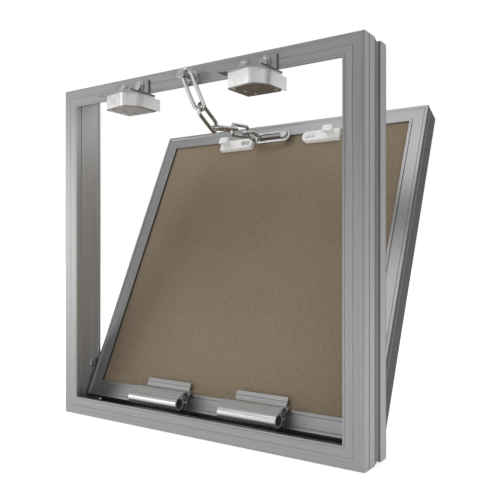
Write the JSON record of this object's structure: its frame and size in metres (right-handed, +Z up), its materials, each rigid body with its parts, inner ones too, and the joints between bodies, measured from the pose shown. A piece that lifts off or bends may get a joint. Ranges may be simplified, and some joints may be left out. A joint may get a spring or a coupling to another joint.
{
  "type": "tileable access panel",
  "caption": "Square aluminium access panel with a tileable leaf that tilts out on hinge arms, push latches, plastic strikes and a safety chain.",
  "frame": {"origin": "centre of the rear face of the frame's flange, in the middle of the wall opening", "axes": "+X along the wall to the right as seen from the void, +Y out of the wall into the room, +Z up"},
  "size_m": [0.3, 0.189, 0.3],
  "materials": {
    "frame_alu": "brushed, silver anodised",
    "leaf_alu": "brushed, silver anodised",
    "hinge_alu": "drawn, silver anodised",
    "board": "matte mineral-faced board",
    "latch_paint": "satin light grey",
    "latch_core": "matte black",
    "latch_cover": "dull",
    "steel": "zinc plated",
    "chain_steel": "bright plated",
    "strike_white": "white, satin",
    "cleat_steel": "zinc plated",
    "stud_alu": "satin"
  },
  "bodies": {
    "frame": {"frame_bottom_rail": "frame_alu", "frame_right_jamb": "frame_alu", "frame_top_rail": "frame_alu", "frame_left_jamb": "frame_alu", "frame_corner_cleats": "cleat_steel", "jamb_studs": "stud_alu", "latch_screws": "steel", "chain_screw": "steel", "chain_washer": "steel", "latch_bracket_left": "latch_paint", "latch_housing_left": "latch_paint", "latch_core_left": "latch_core", "latch_cover_left": "latch_cover", "latch_rivets_left": "steel", "latch_bracket_right": "latch_paint", "latch_housing_right": "latch_paint", "latch_core_right": "latch_core", "latch_cover_right": "latch_cover", "latch_rivets_right": "steel", "latch_spring_left": "steel", "latch_spring_right": "steel"},
    "leaf": {"leaf_bottom_rail": "leaf_alu", "leaf_right_stile": "leaf_alu", "leaf_top_rail": "leaf_alu", "leaf_left_stile": "leaf_alu", "leaf_corner_cleats": "cleat_steel", "tile_board": "board", "hinge_plate_left": "hinge_alu", "hinge_plate_right": "hinge_alu", "hinge_knuckle_left": "hinge_alu", "hinge_knuckle_right": "hinge_alu", "hinge_rivets": "steel", "strike_left": "strike_white", "strike_right": "strike_white", "strike_screws": "steel", "chain_anchor_loop": "chain_steel", "chain_anchor_bolt": "steel", "chain_anchor_spacer": "steel"},
    "latch_carriage_left": {"latch_carriage_left": "latch_core", "latch_jaw_pins_left": "steel"},
    "latch_left_jaw_left": {"latch_left_jaw_left": "latch_core"},
    "latch_left_jaw_right": {"latch_left_jaw_right": "latch_core"},
    "latch_carriage_right": {"latch_carriage_right": "latch_core", "latch_jaw_pins_right": "steel"},
    "latch_right_jaw_left": {"latch_right_jaw_left": "latch_core"},
    "latch_right_jaw_right": {"latch_right_jaw_right": "latch_core"},
    "chain_link_1": {"chain_link_1": "chain_steel"},
    "chain_link_2": {"chain_link_2": "chain_steel"},
    "chain_link_3": {"chain_link_3": "chain_steel"},
    "chain_link_4": {"chain_link_4": "chain_steel"},
    "chain_link_5": {"chain_link_5": "chain_steel"}
  },
  "joints": [
    {"name": "leaf_tilt", "type": "hinge", "parent": "frame", "child": "leaf", "pos_m": [0, 0.0412, -0.1463], "axis": [1, 0, 0], "range_deg": [0, 25]},
    {"name": "latch_slide_left", "type": "slide", "parent": "frame", "child": "latch_carriage_left", "axis": [0, -1, 0], "range_m": [0, 0.003], "stiffness_N_per_m": 200, "springref_m": -0.003, "deforming": ["latch_spring_left"]},
    {"name": "jaw_turn_left_left", "type": "hinge", "parent": "latch_carriage_left", "child": "latch_left_jaw_left", "pos_m": [-0.06485, 0.014, 0.1262], "axis": [0, 0, -1], "range_deg": [0, 42.6]},
    {"name": "jaw_turn_left_right", "type": "hinge", "parent": "latch_carriage_left", "child": "latch_left_jaw_right", "pos_m": [-0.05215, 0.014, 0.1262], "axis": [0, 0, 1], "range_deg": [0, 42.6]},
    {"name": "latch_slide_right", "type": "slide", "parent": "frame", "child": "latch_carriage_right", "axis": [0, -1, 0], "range_m": [0, 0.003], "stiffness_N_per_m": 200, "springref_m": -0.003, "deforming": ["latch_spring_right"]},
    {"name": "jaw_turn_right_left", "type": "hinge", "parent": "latch_carriage_right", "child": "latch_right_jaw_left", "pos_m": [0.05215, 0.014, 0.1262], "axis": [0, 0, -1], "range_deg": [0, 42.6]},
    {"name": "jaw_turn_right_right", "type": "hinge", "parent": "latch_carriage_right", "child": "latch_right_jaw_right", "pos_m": [0.06485, 0.014, 0.1262], "axis": [0, 0, 1], "range_deg": [0, 42.6]},
    {"name": "chain_anchor_turn", "type": "hinge", "parent": "leaf", "child": "chain_link_5", "pos_m": [-0.0222, 0.13645, 0.11216], "axis": [1, 0, 0], "range_deg": [0, 2.35]},
    {"name": "chain_turn_4", "type": "hinge", "parent": "chain_link_5", "child": "chain_link_4", "pos_m": [-0.01824, 0.10241, 0.11388], "axis": [1, 0, 0], "range_deg": [0, 98.27]},
    {"name": "chain_turn_3", "type": "hinge", "parent": "chain_link_4", "child": "chain_link_3", "pos_m": [-0.0089, 0.07631, 0.11123], "axis": [-1, 0, 0], "range_deg": [0, 136.64]},
    {"name": "chain_turn_2", "type": "hinge", "parent": "chain_link_3", "child": "chain_link_2", "pos_m": [-0.00557, 0.03896, 0.10836], "axis": [-1, 0, 0], "range_deg": [0, 106.31]},
    {"name": "chain_turn_1", "type": "hinge", "parent": "chain_link_2", "child": "chain_link_1", "pos_m": [0.0011, 0.01449, 0.11721], "axis": [1, 0, 0], "range_deg": [0, 54.12]}
  ],
  "couplings": [
    {"joint": "jaw_turn_left_left", "follows": "latch_slide_left", "rad_per_m": 244},
    {"joint": "jaw_turn_left_right", "follows": "latch_slide_left", "rad_per_m": 244},
    {"joint": "jaw_turn_right_left", "follows": "latch_slide_right", "rad_per_m": 244},
    {"joint": "jaw_turn_right_right", "follows": "latch_slide_right", "rad_per_m": 244},
    {"joint": "chain_anchor_turn", "follows": "leaf_tilt", "ratio": 0.09},
    {"joint": "chain_turn_4", "follows": "leaf_tilt", "ratio": 3.9268},
    {"joint": "chain_turn_3", "follows": "leaf_tilt", "ratio": 5.4616},
    {"joint": "chain_turn_2", "follows": "leaf_tilt", "ratio": 4.2484},
    {"joint": "chain_turn_1", "follows": "leaf_tilt", "ratio": 2.1608}
  ]
}
